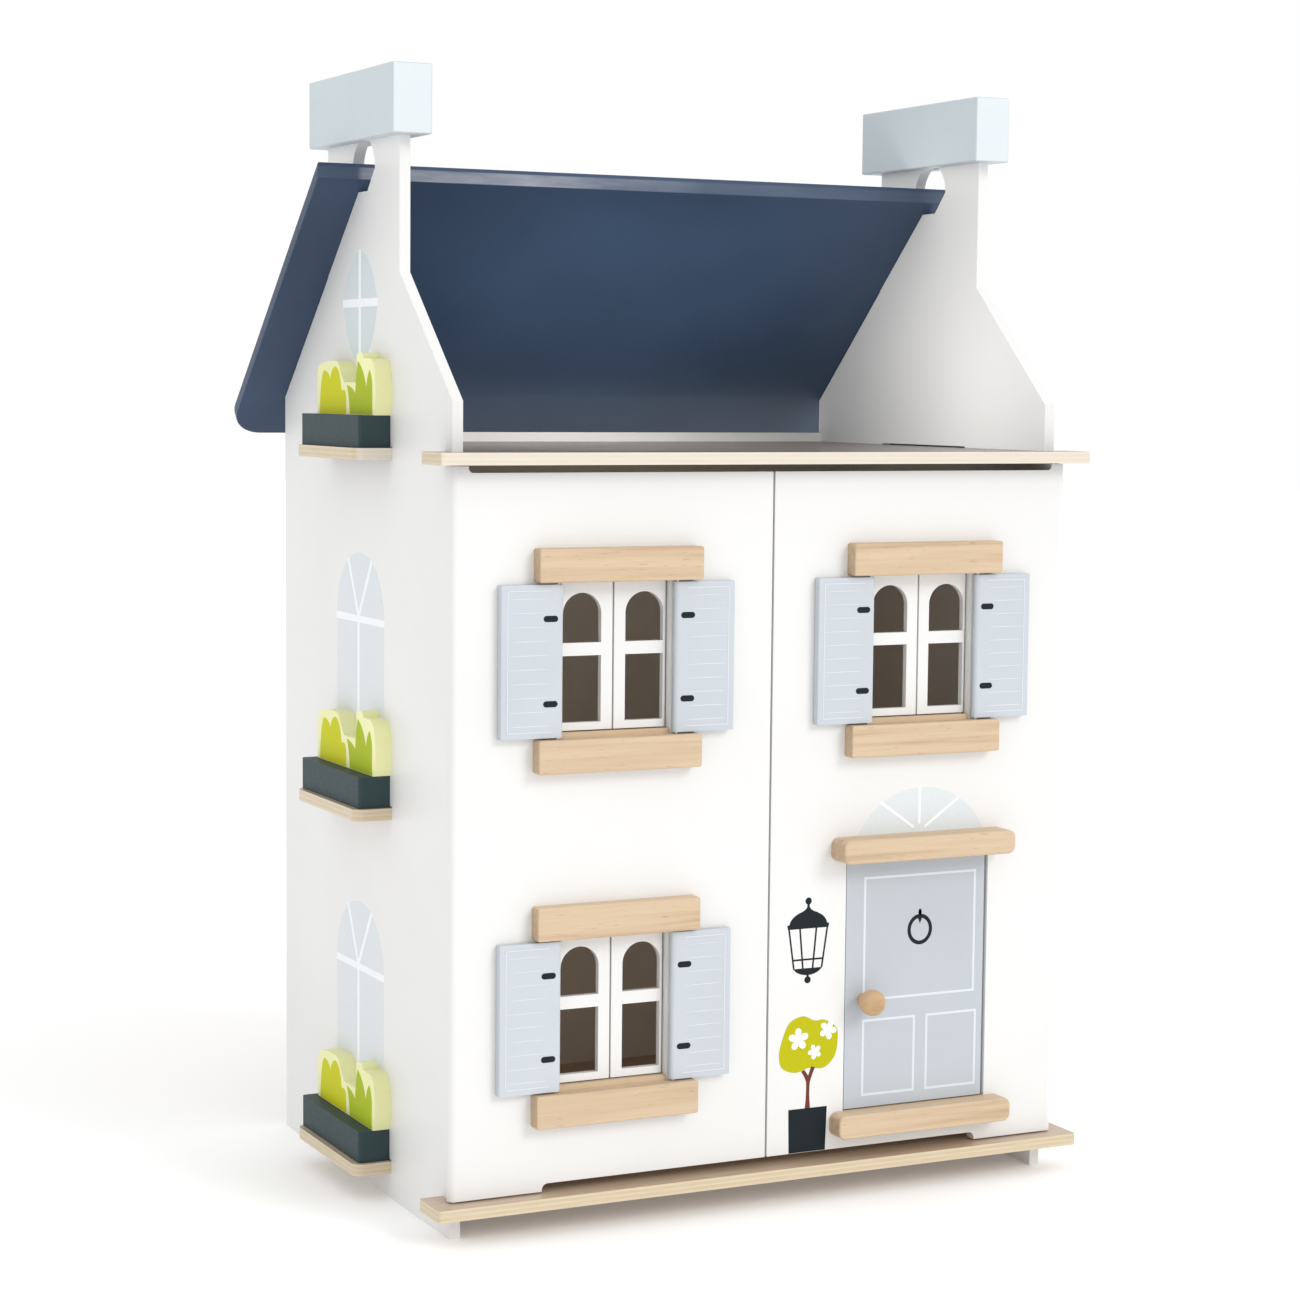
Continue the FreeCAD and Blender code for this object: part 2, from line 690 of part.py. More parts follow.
def save_house():
    right = gable_board()
    floor_top = BASE_Z + FLOOR_T
    screws = []
    shown_screws = []
    for x in SCREW_X:
        for level in FLOOR_LEVELS:
            z = level + FLOOR_T / 2.0
            screws.append(back_screw(x, z))
            shown_screws.append(crossed(back_screw(x, z), x, HALF_DEPTH, z))
    base = floor_with_pin_holes(BASE_Z, floor_top - PANEL_PIN_IN_FLOOR, floor_top)
    attic = floor_with_pin_holes(ATTIC_Z, ATTIC_Z, ATTIC_Z + PANEL_PIN_IN_FLOOR)
    boards = {"base_board": base, "middle_floor": floor_board(MIDDLE_Z, False), "attic_floor": attic}
    for name, board in boards.items():
        for screw in screws:
            if board.BoundBox.intersect(screw.BoundBox):
                board = board.cut(screw)
        save(name, board)
    save("right_gable", right)
    save("left_gable", mirrored(right))
    save("right_chimney_cap", chimney_cap())
    save("left_chimney_cap", mirrored(chimney_cap()))
    save("back_panel", back_panel())
    save("back_panel_screws", shown_screws)
    save("front_panel_pins", panel_pins())
    save("roof_board", roof_board())


def save_window_boxes():
    for storey, level in zip(("lower", "middle", "upper"), FLOOR_LEVELS):
        top = level + FLOOR_T
        save("right_" + storey + "_window_box", trough(top))
        save("left_" + storey + "_window_box", mirrored(trough(top)))
        save("right_" + storey + "_plants", plants(top))
        save("left_" + storey + "_plants", mirrored(plants(top)))


def save_window(name, centre, sill):
    save(name + "_lintel", window_lintel(centre, sill))
    save(name + "_sill", window_sill(centre, sill))
    save(name + "_pins", window_pins(centre, sill))
    for side, word in ((-1, "left"), (1, "right")):
        save(name + "_" + word + "_shutter", shutter(centre, sill, side))
        save(name + "_" + word + "_casement", casement(centre, sill, side))


def save_front():
    panel = bare_panel()
    left = mirrored(panel)
    left = left.cut(window_hole(-WINDOW_X, UPPER_SILL)).cut(window_hole(-WINDOW_X, LOWER_SILL))
    right = panel.cut(window_hole(WINDOW_X, UPPER_SILL)).cut(door_hole())
    save("left_front_panel", left)
    save("right_front_panel", right)
    save_window("upper_left_window", -WINDOW_X, UPPER_SILL)
    save_window("lower_left_window", -WINDOW_X, LOWER_SILL)
    save_window("upper_right_window", WINDOW_X, UPPER_SILL)


def save_door():
    save("house_door", house_door())
    save("door_knob", door_knob())
    save("door_knob_screw", crossed(knob_screw(), KNOB_X, DOOR_Y + DOOR_T / 2.0, KNOB_Z))
    save("door_pins", door_pins())
    lintel_z = DOOR_LINTEL[2]
    threshold_z = THRESHOLD[3]
    save("door_lintel", door_block(DOOR_LINTEL, DOOR_LINTEL_PROUD, lintel_z, lintel_z + BLOCK_TONGUE))
    save(
        "door_threshold",
        door_block(THRESHOLD, THRESHOLD_PROUD, threshold_z - BLOCK_TONGUE, threshold_z),
    )


os.makedirs("parts", exist_ok=True)
save_house()
save_window_boxes()
save_front()
save_door()
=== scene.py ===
import json
import math

import bmesh
import bpy
from mathutils import Matrix, Vector

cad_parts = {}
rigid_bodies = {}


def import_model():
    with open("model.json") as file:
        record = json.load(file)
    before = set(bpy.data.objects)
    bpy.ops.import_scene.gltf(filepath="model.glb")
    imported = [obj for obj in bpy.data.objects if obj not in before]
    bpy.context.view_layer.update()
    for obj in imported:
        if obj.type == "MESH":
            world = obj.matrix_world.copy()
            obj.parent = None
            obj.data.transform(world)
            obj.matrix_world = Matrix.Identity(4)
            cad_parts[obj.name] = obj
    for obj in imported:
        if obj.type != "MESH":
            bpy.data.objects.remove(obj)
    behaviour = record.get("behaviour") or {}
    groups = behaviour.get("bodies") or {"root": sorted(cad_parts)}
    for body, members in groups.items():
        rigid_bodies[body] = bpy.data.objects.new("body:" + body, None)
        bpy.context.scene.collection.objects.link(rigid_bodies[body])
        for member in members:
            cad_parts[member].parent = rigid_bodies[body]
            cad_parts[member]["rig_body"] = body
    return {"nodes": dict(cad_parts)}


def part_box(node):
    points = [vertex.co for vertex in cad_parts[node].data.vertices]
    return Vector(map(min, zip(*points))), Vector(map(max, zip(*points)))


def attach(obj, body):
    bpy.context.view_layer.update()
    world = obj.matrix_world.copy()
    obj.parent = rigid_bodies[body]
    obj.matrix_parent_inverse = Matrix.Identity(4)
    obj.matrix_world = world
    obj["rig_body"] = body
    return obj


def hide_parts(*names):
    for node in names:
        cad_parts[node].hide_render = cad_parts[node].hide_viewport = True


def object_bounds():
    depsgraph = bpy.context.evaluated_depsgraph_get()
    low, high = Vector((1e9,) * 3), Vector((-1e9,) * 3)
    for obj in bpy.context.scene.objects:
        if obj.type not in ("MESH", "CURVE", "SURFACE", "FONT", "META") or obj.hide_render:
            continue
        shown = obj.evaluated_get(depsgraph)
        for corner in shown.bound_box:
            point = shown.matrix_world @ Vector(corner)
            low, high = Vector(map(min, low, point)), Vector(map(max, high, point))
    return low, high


# Looks for the wooden dollhouse: painted and bare wood for every board and block, rounded-over
# edges, and the prints on the walls, shutters, door and plants as thin layers of ink.
# Lengths in the outlines are millimetres, and everything placed in the scene is in metres.

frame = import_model()
cad_low, cad_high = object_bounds()
nodes = frame["nodes"]

MM = 0.001
INK = 0.06
INK_STEP = 0.012
INK_FOOT = 0.15

WINDOWS = {
    "upper_left_window": "left_front",
    "lower_left_window": "left_front",
    "upper_right_window": "right_front",
}
SIDES = ("left", "right")
STOREYS = ("lower", "middle", "upper")


# ---------------------------------------------------------------- materials


class Recipe:
    """A material while it is written: its nodes, the place on the piece, and its shader."""

    def __init__(self, name):
        self.material = bpy.data.materials.new(name)
        self.material.use_nodes = True
        tree = self.material.node_tree
        self.nodes = tree.nodes
        self.links = tree.links
        self.shader = self.nodes["Principled BSDF"]
        coordinates = self.nodes.new("ShaderNodeTexCoord")
        self.place = coordinates.outputs["Object"]
        self.normal = coordinates.outputs["Normal"]
        self.surface = None

    def fixed(self, **values):
        """Values that are the same all over, set on the shader's own sockets."""
        for name, value in values.items():
            self.shader.inputs[name.replace("_", " ")].default_value = value

    def put(self, socket, value):
        self.links.new(value, self.shader.inputs[socket])

    def noise(self, scale, detail=2.0, roughness=0.5, distortion=0.0):
        """Noise with its own scale along X, Y and Z, in cells to the metre."""
        mapping = self.nodes.new("ShaderNodeMapping")
        mapping.inputs["Scale"].default_value = scale
        self.links.new(self.place, mapping.inputs["Vector"])
        texture = self.nodes.new("ShaderNodeTexNoise")
        texture.inputs["Scale"].default_value = 1.0
        texture.inputs["Detail"].default_value = detail
        texture.inputs["Roughness"].default_value = roughness
        texture.inputs["Distortion"].default_value = distortion
        self.links.new(mapping.outputs["Vector"], texture.inputs["Vector"])
        return texture.outputs["Fac"]

    def ramp(self, value, stops):
        """A value turned into a colour by stops of (position, colour)."""
        node = self.nodes.new("ShaderNodeValToRGB")
        elements = node.color_ramp.elements
        while len(elements) < len(stops):
            elements.new(0.5)
        for element, (position, colour) in zip(elements, stops):
            element.position = position
            element.color = (*colour, 1.0)
        self.links.new(value, node.inputs["Fac"])
        return node.outputs["Color"]

    def spread(self, value, low, high, start=0.3, end=0.7):
        """A value from start to end turned into one from low to high."""
        node = self.nodes.new("ShaderNodeMapRange")
        node.inputs["From Min"].default_value = start
        node.inputs["From Max"].default_value = end
        node.inputs["To Min"].default_value = low
        node.inputs["To Max"].default_value = high
        self.links.new(value, node.inputs["Value"])
        return node.outputs["Result"]

    def sums(self, operation, first, second):
        node = self.nodes.new("ShaderNodeMath")
        node.operation = operation
        for socket, value in zip(node.inputs, (first, second)):
            if isinstance(value, (int, float)):
                socket.default_value = value
            else:
                self.links.new(value, socket)
        return node.outputs["Value"]

    def mixed(self, factor, first, second, way="MIX"):
        node = self.nodes.new("ShaderNodeMix")
        node.data_type = "RGBA"
        node.blend_type = way
        for socket, value in ((0, factor), (6, first), (7, second)):
            if isinstance(value, (int, float)):
                node.inputs[socket].default_value = value
            elif isinstance(value, tuple):
                node.inputs[socket].default_value = (*value, 1.0)
            else:
                self.links.new(value, node.inputs[socket])
        return node.outputs[2]

    def part_of(self, vector, axis):
        """One part, X, Y or Z, of a direction or a place."""
        node = self.nodes.new("ShaderNodeSeparateXYZ")
        self.links.new(vector, node.inputs["Vector"])
        return node.outputs[axis]

    def facing_forwards(self, start, end):
        """One on faces that look forwards, -Y, and nought where they turn away from it."""
        forwards = self.sums("MULTIPLY", self.part_of(self.normal, "Y"), -1.0)
        return self.spread(forwards, 0.0, 1.0, start, end)

    def relief(self, height, depth, strength=1.0):
        """A bump of the given depth in metres, laid over the ones before it."""
        node = self.nodes.new("ShaderNodeBump")
        node.inputs["Strength"].default_value = strength
        node.inputs["Distance"].default_value = depth
        self.links.new(height, node.inputs["Height"])
        if self.surface is not None:
            self.links.new(self.surface, node.inputs["Normal"])
        self.surface = node.outputs["Normal"]
        self.put("Normal", self.surface)


def shade(colour, factor):
    return tuple(min(1.0, part * factor) for part in colour)


# How much painted light is left outside its span, and the lengths over which it starts and stops
PAINTED_LIGHT_LEFT = 0.15
PAINTED_LIGHT_START = 4 * MM
PAINTED_LIGHT_EDGE = 0.6 * MM


def paint(
    name, colour, roughness=0.42, depth=0.00003, mottle=0.04, grain_axis=2, gloss=0.5,
    painted_light=None, painted_light_span=None,
):
    """Sprayed paint on wood: an even colour that varies a little, with a fine orange peel.

    A colour of painted light, with how much of it there is at least, lightens the faces that look
    straight forwards.
    Its span gives where along X it starts, begins to fade and has faded, and the height it ends at.
    """
    recipe = Recipe(name)
    broad = recipe.noise((9.0, 9.0, 9.0), 3.0)
    colours = [(0.3, shade(colour, 1.0 - mottle)), (0.7, shade(colour, 1.0 + mottle))]
    face = recipe.ramp(broad, colours)
    # Painted light: faces that look forwards are mixed towards a lighter colour, blotched by noise
    if painted_light:
        lit_colour, least = painted_light
        light_blotches = recipe.noise((14.0, 90.0, 90.0), 4.0, 0.65)
        is_front = recipe.facing_forwards(0.9, 0.99)
        amount = recipe.sums("MULTIPLY", is_front, recipe.spread(light_blotches, least, 1.0))
        if painted_light_span:
            start_x, fade_x, end_x, top_z = painted_light_span
            across = recipe.part_of(recipe.place, "X")
            started = recipe.spread(across, PAINTED_LIGHT_LEFT, 1.0, start_x - PAINTED_LIGHT_START, start_x)
            not_ended = recipe.spread(across, 1.0, PAINTED_LIGHT_LEFT, fade_x, end_x)
            height = recipe.part_of(recipe.place, "Z")
            below = recipe.spread(height, 1.0, 0.0, top_z - PAINTED_LIGHT_EDGE, top_z)
            for limit in (started, not_ended, below):
                amount = recipe.sums("MULTIPLY", amount, limit)
        face = recipe.mixed(amount, face, lit_colour)
    recipe.put("Base Color", face)
    peel = recipe.noise((650.0, 650.0, 650.0), 2.0)
    scale = [420.0, 420.0, 420.0]
    scale[grain_axis] = 14.0
    grain = recipe.noise(tuple(scale), 3.0, 0.6)
    recipe.put("Roughness", recipe.spread(peel, roughness - 0.06, roughness + 0.06))
    recipe.fixed(Coat_Weight=0.12 * gloss, Coat_Roughness=0.25, Specular_IOR_Level=gloss)
    recipe.relief(peel, depth)
    recipe.relief(grain, depth * 0.7, 0.5)
    return recipe.material


def ink(name, colour):
    """Screen-printed ink: flat and even, a little matter than the paint under it."""
    recipe = Recipe(name)
    speckle = recipe.noise((900.0, 900.0, 900.0), 3.0)
    colours = [(0.35, shade(colour, 0.98)), (0.65, shade(colour, 1.02))]
    recipe.put("Base Color", recipe.ramp(speckle, colours))
    recipe.put("Roughness", recipe.spread(speckle, 0.5, 0.6))
    recipe.fixed(Specular_IOR_Level=0.12)
    recipe.relief(speckle, 0.00001)
    return recipe.material


WOOD_LIGHT = (0.64, 0.505, 0.365)
WOOD_MIDDLE = (0.575, 0.435, 0.30)
WOOD_DARK = (0.43, 0.30, 0.185)
WOOD_END = (0.45, 0.33, 0.215)
WOOD_PORE = (0.30, 0.19, 0.11)


def wood(name, grain_axis, tint=(1.0, 1.0, 1.0)):
    """Plain sawn hardwood: long streaks, short dark pores, and darker end grain."""
    recipe = Recipe(name)
    streak_scale = [95.0, 150.0, 150.0]
    streak_scale[grain_axis] = 5.0
    pore_scale = [1500.0, 1500.0, 1500.0]
    pore_scale[grain_axis] = 110.0
    fibre_scale = [1900.0, 1900.0, 1900.0]
    fibre_scale[grain_axis] = 30.0
    streak = recipe.noise(tuple(streak_scale), 5.0, 0.55, 0.35)
    board = recipe.noise((11.0, 11.0, 11.0), 2.0)
    pores = recipe.noise(tuple(pore_scale), 2.0)
    fibre = recipe.noise(tuple(fibre_scale), 2.0)
    stops = [(0.28, WOOD_DARK), (0.42, WOOD_MIDDLE), (0.58, WOOD_LIGHT), (0.75, WOOD_MIDDLE)]
    face = recipe.ramp(streak, stops)
    face = recipe.mixed(recipe.spread(board, 0.0, 0.35), face, WOOD_LIGHT)
    face = recipe.mixed(recipe.spread(pores, 0.0, 0.55, 0.66, 0.74), face, WOOD_PORE)
    face = recipe.mixed(recipe.spread(fibre, 0.0, 0.14), face, WOOD_DARK)
    rings = recipe.noise((260.0, 420.0, 420.0), 4.0, 0.6, 0.6)
    end = recipe.ramp(rings, [(0.3, WOOD_END), (0.7, WOOD_MIDDLE)])
    towards = recipe.sums("ABSOLUTE", recipe.part_of(recipe.normal, "XYZ"[grain_axis]), 0.0)
    is_end = recipe.spread(towards, 0.0, 1.0, 0.75, 0.95)
    colour = recipe.mixed(is_end, face, end)
    recipe.put("Base Color", recipe.mixed(1.0, colour, tint, "MULTIPLY"))
    recipe.put("Roughness", recipe.spread(streak, 0.5, 0.62))
    recipe.fixed(Specular_IOR_Level=0.4)
    recipe.relief(pores, 0.00008, 0.6)
    recipe.relief(fibre, 0.00004, 0.5)
    return recipe.material


VENEER = (0.54, 0.415, 0.30)
# The attic deck's veneer is a darker copy of the floor veneer: painted shade from the roof over it
# and a painted reflection of the dark roof
DECK_VENEER_PAINTED_SHADE = (0.195, 0.16, 0.135)
PLY_PALE = (0.66, 0.565, 0.41)
PLY_DARK = (0.56, 0.455, 0.30)
PLY_GLUE = (0.41, 0.31, 0.19)
PLY_PALE_FRONT = (0.80, 0.79, 0.77)
PLY_COUNT = 5


def plywood(name, node, veneer_colour, front_paling):
    """A varnished plywood floor: veneer above and below, and its plies along the edges.

    Front paling is how far its plies are made paler on the faces that look forwards.
    """
    low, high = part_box(node)
    recipe = Recipe(name)
    veneer = recipe.noise((7.0, 120.0, 120.0), 4.0, 0.55, 0.3)
    fibre = recipe.noise((40.0, 1500.0, 1500.0), 2.0)
    face_dark = shade(veneer_colour, 0.82)
    face = recipe.ramp(veneer, [(0.3, face_dark), (0.6, veneer_colour)])
    face = recipe.mixed(recipe.spread(fibre, 0.0, 0.2), face, face_dark)
    height = recipe.sums("SUBTRACT", recipe.part_of(recipe.place, "Z"), low.z)
    layer = recipe.sums("MULTIPLY", height, PLY_COUNT / (high.z - low.z))
    within = recipe.sums("FRACT", layer, 0.0)
    parity = recipe.sums("FLOOR", recipe.sums("MODULO", layer, 2.0), 0.0)
    streak = recipe.noise((60.0, 60.0, 1400.0), 3.0)
    pale = recipe.mixed(recipe.spread(streak, 0.0, 0.5), PLY_PALE, PLY_DARK)
    dark = recipe.mixed(recipe.spread(streak, 0.0, 0.6), PLY_DARK, PLY_PALE)
    plies = recipe.mixed(parity, pale, dark)
    from_middle = recipe.sums("ABSOLUTE", recipe.sums("SUBTRACT", within, 0.5), 0.0)
    glue = recipe.spread(from_middle, 0.0, 0.45, 0.44, 0.5)
    plies = recipe.mixed(glue, plies, PLY_GLUE)
    front_edge = recipe.sums("MULTIPLY", recipe.facing_forwards(0.5, 0.9), front_paling)
    plies = recipe.mixed(front_edge, plies, PLY_PALE_FRONT)
    upright = recipe.sums("ABSOLUTE", recipe.part_of(recipe.normal, "Z"), 0.0)
    is_face = recipe.spread(upright, 0.0, 1.0, 0.6, 0.9)
    recipe.put("Base Color", recipe.mixed(is_face, plies, face))
    recipe.put("Roughness", recipe.spread(veneer, 0.38, 0.5))
    recipe.fixed(Coat_Weight=0.45, Coat_Roughness=0.10, Specular_IOR_Level=0.1)
    recipe.relief(fibre, 0.00002, 0.4)
    recipe.relief(streak, 0.00002, 0.3)
    return recipe.material


FELT_DARK = (0.20, 0.125, 0.072)
FELT_LIGHT = (0.33, 0.22, 0.135)
FELT_PATCH = (0.36, 0.25, 0.16)
COATING = (0.70, 0.69, 0.665)


def hardboard(name):
    """Pressed-fibre board: brown felted speckle behind, and a pale coating on its front."""
    recipe = Recipe(name)
    felt = recipe.noise((700.0, 700.0, 700.0), 5.0, 0.7)
    patches = recipe.noise((22.0, 22.0, 22.0), 3.0)
    brown = recipe.ramp(felt, [(0.3, FELT_DARK), (0.7, FELT_LIGHT)])
    warm = recipe.mixed(recipe.spread(patches, 0.0, 0.3), brown, FELT_PATCH)
    coated = recipe.ramp(patches, [(0.3, shade(COATING, 0.96)), (0.7, shade(COATING, 1.04))])
    recipe.put("Base Color", recipe.mixed(recipe.facing_forwards(0.5, 0.9), warm, coated))
    recipe.put("Roughness", recipe.spread(felt, 0.55, 0.75))
    recipe.relief(felt, 0.00006, 0.6)
    return recipe.material


ZINC_DARK = (0.50, 0.51, 0.53)
ZINC_LIGHT = (0.66, 0.67, 0.69)


def steel(name):
    """Bright zinc-plated steel with fine drawing lines along its length."""
    recipe = Recipe(name)
    lines = recipe.noise((2500.0, 2500.0, 60.0), 2.0)
    recipe.put("Base Color", recipe.ramp(lines, [(0.3, ZINC_DARK), (0.7, ZINC_LIGHT)]))
    recipe.put("Roughness", recipe.spread(lines, 0.25, 0.42))
    recipe.fixed(Metallic=1.0)
    recipe.relief(lines, 0.00002, 0.4)
    return recipe.material


PAPER_DARK = (0.94, 0.94, 0.94)
PAPER_LIGHT = (0.96, 0.96, 0.96)


def floor_paper(name):
    """The plain pale ground under the house."""
    recipe = Recipe(name)
    tooth = recipe.noise((300.0, 300.0, 300.0), 3.0)
    recipe.put("Base Color", recipe.ramp(tooth, [(0.3, PAPER_DARK), (0.7, PAPER_LIGHT)]))
    recipe.fixed(Roughness=0.85, Emission_Color=(1.0, 1.0, 1.0, 1.0), Emission_Strength=0.10)
    return recipe.material


WHITE = paint("white_paint", (0.755, 0.753, 0.745), mottle=0.02)
SHUTTER_BLUE = paint("shutter_paint", (0.515, 0.553, 0.595), gloss=0.35)
DOOR_BLUE = paint("door_paint", (0.465, 0.502, 0.542), 0.38, gloss=0.35)
# Painted light: the caps' faces that look forwards are painted paler than their sides, as if lit
# more
CAP_BLUE = paint(
    "cap_paint",
    (0.53, 0.595, 0.63),
    grain_axis=1,
    gloss=0.35,
    painted_light=((0.66, 0.71, 0.745), 0.9),
)
# A painted highlight on the roof board's ridge face: full from the left gable, fading out between
# these two places along X, and stopping this far under the top
RIDGE_HIGHLIGHT_FADES = -80 * MM
RIDGE_HIGHLIGHT_ENDS = 30 * MM
RIDGE_DARK_EDGE = 2.2 * MM
ROOF_SLATE = paint(
    "roof_paint",
    (0.031, 0.057, 0.108),
    roughness=0.5,
    depth=0.00004,
    mottle=0.10,
    grain_axis=0,
    gloss=0.35,
    painted_light=((0.27, 0.29, 0.34), 0.35),
    painted_light_span=(
        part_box("left_gable")[0].x,
        RIDGE_HIGHLIGHT_FADES,
        RIDGE_HIGHLIGHT_ENDS,
        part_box("roof_board")[1].z - RIDGE_DARK_EDGE,
    ),
)
BOX_SLATE = paint("box_paint", (0.036, 0.059, 0.064), 0.5, grain_axis=1, gloss=0.12)
PLANT_GREEN = paint("plant_paint", (0.80, 0.80, 0.41), 0.5, mottle=0.05)
BEECH = wood("beech", 0, (0.98, 0.96, 0.91))
TURNED_BEECH = wood("turned_beech", 1, (0.90, 0.78, 0.62))
HARDBOARD = hardboard("hardboard")
STEEL = steel("steel")

WHITE_INK = ink("white_ink", (0.86, 0.88, 0.90))
SHUTTER_INK = ink("shutter_ink", (0.67, 0.715, 0.75))
DOOR_INK = ink("door_ink", (0.66, 0.70, 0.735))
SLATE_INK = ink("slate_ink", (0.012, 0.018, 0.022))
MIST_INK = ink("mist_ink", (0.69, 0.725, 0.755))
SKY_INK = ink("sky_ink", (0.62, 0.68, 0.70))
GLASS_INK = ink("glass_ink", (0.67, 0.715, 0.735))
OLIVE_INK = ink("olive_ink", (0.56, 0.57, 0.006))
LEAF_INK = ink("leaf_ink", (0.38, 0.48, 0.012))
CROWN_INK = ink("crown_ink", (0.475, 0.455, 0.006))
BARK_INK = ink("bark_ink", (0.15, 0.04, 0.022))


# ------------------------------------------------- boards with rounded edges


def finished(name, mesh, material):
    """An object in the scene with its mesh and material."""
    obj = bpy.data.objects.new(name, mesh)
    bpy.context.scene.collection.objects.link(obj)
    mesh.materials.clear()
    mesh.materials.append(material)
    return obj


SHORTEST_ROUNDED = 0.8 * MM
SHARP_ANGLE = math.radians(40)
SAME_POINT = 0.001 * MM
FLAT_ANGLE = math.radians(0.5)

# How far each edge is rounded over, in millimetres
FLOOR_ROUND = 0.4
ROOF_ROUND = 0.6
PANEL_ROUND = 0.5
BOX_ROUND = 0.7
PLANT_ROUND = 2.2
SHUTTER_ROUND = 0.7
SASH_ROUND = 0.35
DOOR_ROUND = 0.6


def rounded_copy(node, width, material):
    """A copy of a CAD node whose sharp edges are rounded over, shown in its place."""
    body = nodes[node]["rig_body"]
    shape = bmesh.new()
    shape.from_mesh(nodes[node].data)
    bmesh.ops.remove_doubles(shape, verts=shape.verts, dist=SAME_POINT)
    bmesh.ops.dissolve_limit(
        shape, angle_limit=FLAT_ANGLE, verts=shape.verts, edges=shape.edges
    )
    sharp = [
        edge
        for edge in shape.edges
        if edge.is_manifold
        and edge.calc_face_angle() > SHARP_ANGLE
        and edge.calc_length() > SHORTEST_ROUNDED
    ]
    bmesh.ops.bevel(
        shape,
        geom=sharp,
        offset=width * MM,
        offset_type="OFFSET",
        segments=3,
        profile=0.5,
        affect="EDGES",
        clamp_overlap=True,
    )
    for face in shape.faces:
        face.smooth = True
    mesh = bpy.data.meshes.new(node + "_finished")
    shape.to_mesh(mesh)
    shape.free()
    mesh.set_sharp_from_angle(angle=SHARP_ANGLE)
    copy = finished(node + "_finished", mesh, material)
    weighted = copy.modifiers.new("even_faces", "WEIGHTED_NORMAL")
    weighted.keep_sharp = True
    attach(copy, body)
    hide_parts(node)


def dress(node, material):
    """A new material on a CAD node that is shown as it is."""
    materials = nodes[node].data.materials
    materials.clear()
    materials.append(material)


def dress_house():
    floors = {
        "base_board": (VENEER, 0.0),
        "middle_floor": (VENEER, 0.0),
        # The attic floor gets the darker veneer as painted shade
        "attic_floor": (DECK_VENEER_PAINTED_SHADE, 0.4),
    }
    for node, (veneer_colour, front_paling) in floors.items():
        material = plywood(node + "_ply", node, veneer_colour, front_paling)
        rounded_copy(node, FLOOR_ROUND, material)
    rounded_copy("roof_board", ROOF_ROUND, ROOF_SLATE)
    dress("back_panel", HARDBOARD)
    dress("back_panel_screws", STEEL)
    dress("front_panel_pins", STEEL)
    for side in SIDES:
        dress(side + "_gable", WHITE)
        dress(side + "_chimney_cap", CAP_BLUE)
        rounded_copy(side + "_front_panel", PANEL_ROUND, WHITE)
        for storey in STOREYS:
            name = side + "_" + storey
            rounded_copy(name + "_window_box", BOX_ROUND, BOX_SLATE)
            rounded_copy(name + "_plants", PLANT_ROUND, PLANT_GREEN)


def dress_windows():
    for window in WINDOWS:
        dress(window + "_lintel", BEECH)
        dress(window + "_sill", BEECH)
        dress(window + "_pins", STEEL)
        for side in SIDES:
            name = window + "_" + side
            rounded_copy(name + "_shutter", SHUTTER_ROUND, SHUTTER_BLUE)
            rounded_copy(name + "_casement", SASH_ROUND, WHITE)


def dress_door():
    rounded_copy("house_door", DOOR_ROUND, DOOR_BLUE)
    dress("door_lintel", BEECH)
    dress("door_threshold", BEECH)
    dress("door_knob", TURNED_BEECH)
    dress("door_knob_screw", STEEL)
    dress("door_pins", STEEL)


# ------------------------------------------------------------------- prints


class Surface:
    """A flat face to print on. Places on it are millimetres across and up from its origin."""

    def __init__(self, body, origin, across, up, out):
        self.body = body
        self.origin = Vector(origin)
        self.across = Vector(across)
        self.up = Vector(up)
        self.out = Vector(out)

    def point(self, place, lift):
        u, v = place
        return self.origin + (self.across * u + self.up * v + self.out * lift) * MM


def facing_front(body, x, y, z):
    return Surface(body, (x, y, z), (1, 0, 0), (0, 0, 1), (0, -1, 0))


def slab(shape, surface, outline, hole, top_lift):
    """A thin closed layer between an outline and, if there is one, a hole with as many points."""
    count = len(outline)
    rings = []
    for places in (outline, hole) if hole else (outline,):
        for lift in (top_lift, -INK_FOOT):
            rings.append([shape.verts.new(surface.point(place, lift)) for place in places])
    if hole:
        top, foot, hole_top, hole_foot = rings
        walls = ((top, foot), (hole_top, hole_foot), (top, hole_top), (foot, hole_foot))
    else:
        top, foot = rings
        walls = ((top, foot),)
        shape.faces.new(top)
        shape.faces.new(list(reversed(foot)))
    for near, far in walls:
        for i in range(count):
            j = (i + 1) % count
            shape.faces.new((near[i], near[j], far[j], far[i]))


def printed(name, surface, shapes, material, layer=1):
    """Ink in the given shapes, each an outline or a pair of outline and hole."""
    shape = bmesh.new()
    for i, item in enumerate(shapes):
        outline, hole = item if isinstance(item, tuple) else (item, None)
        slab(shape, surface, outline, hole, INK * layer + INK_STEP * i)
    bmesh.ops.recalc_face_normals(shape, faces=shape.faces)
    mesh = bpy.data.meshes.new(name)
    shape.to_mesh(mesh)
    shape.free()
    obj = finished(name, mesh, material)
    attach(obj, surface.body)


def arc(centre, radius, start, end, steps, tall=1.0):
    """Points along an arc, from one angle to another in degrees, stretched upwards by tall."""
    points = []
    for i in range(steps + 1):
        angle = math.radians(start + (end - start) * i / steps)
        u = centre[0] + radius * math.cos(angle)
        points.append((u, centre[1] + radius * tall * math.sin(angle)))
    return points


def disc(centre, radius, tall=1.0):
    return arc(centre, radius, 0, 348, 29, tall)


def rectangle(u0, u1, v0, v1):
    return [(u0, v0), (u1, v0), (u1, v1), (u0, v1)]


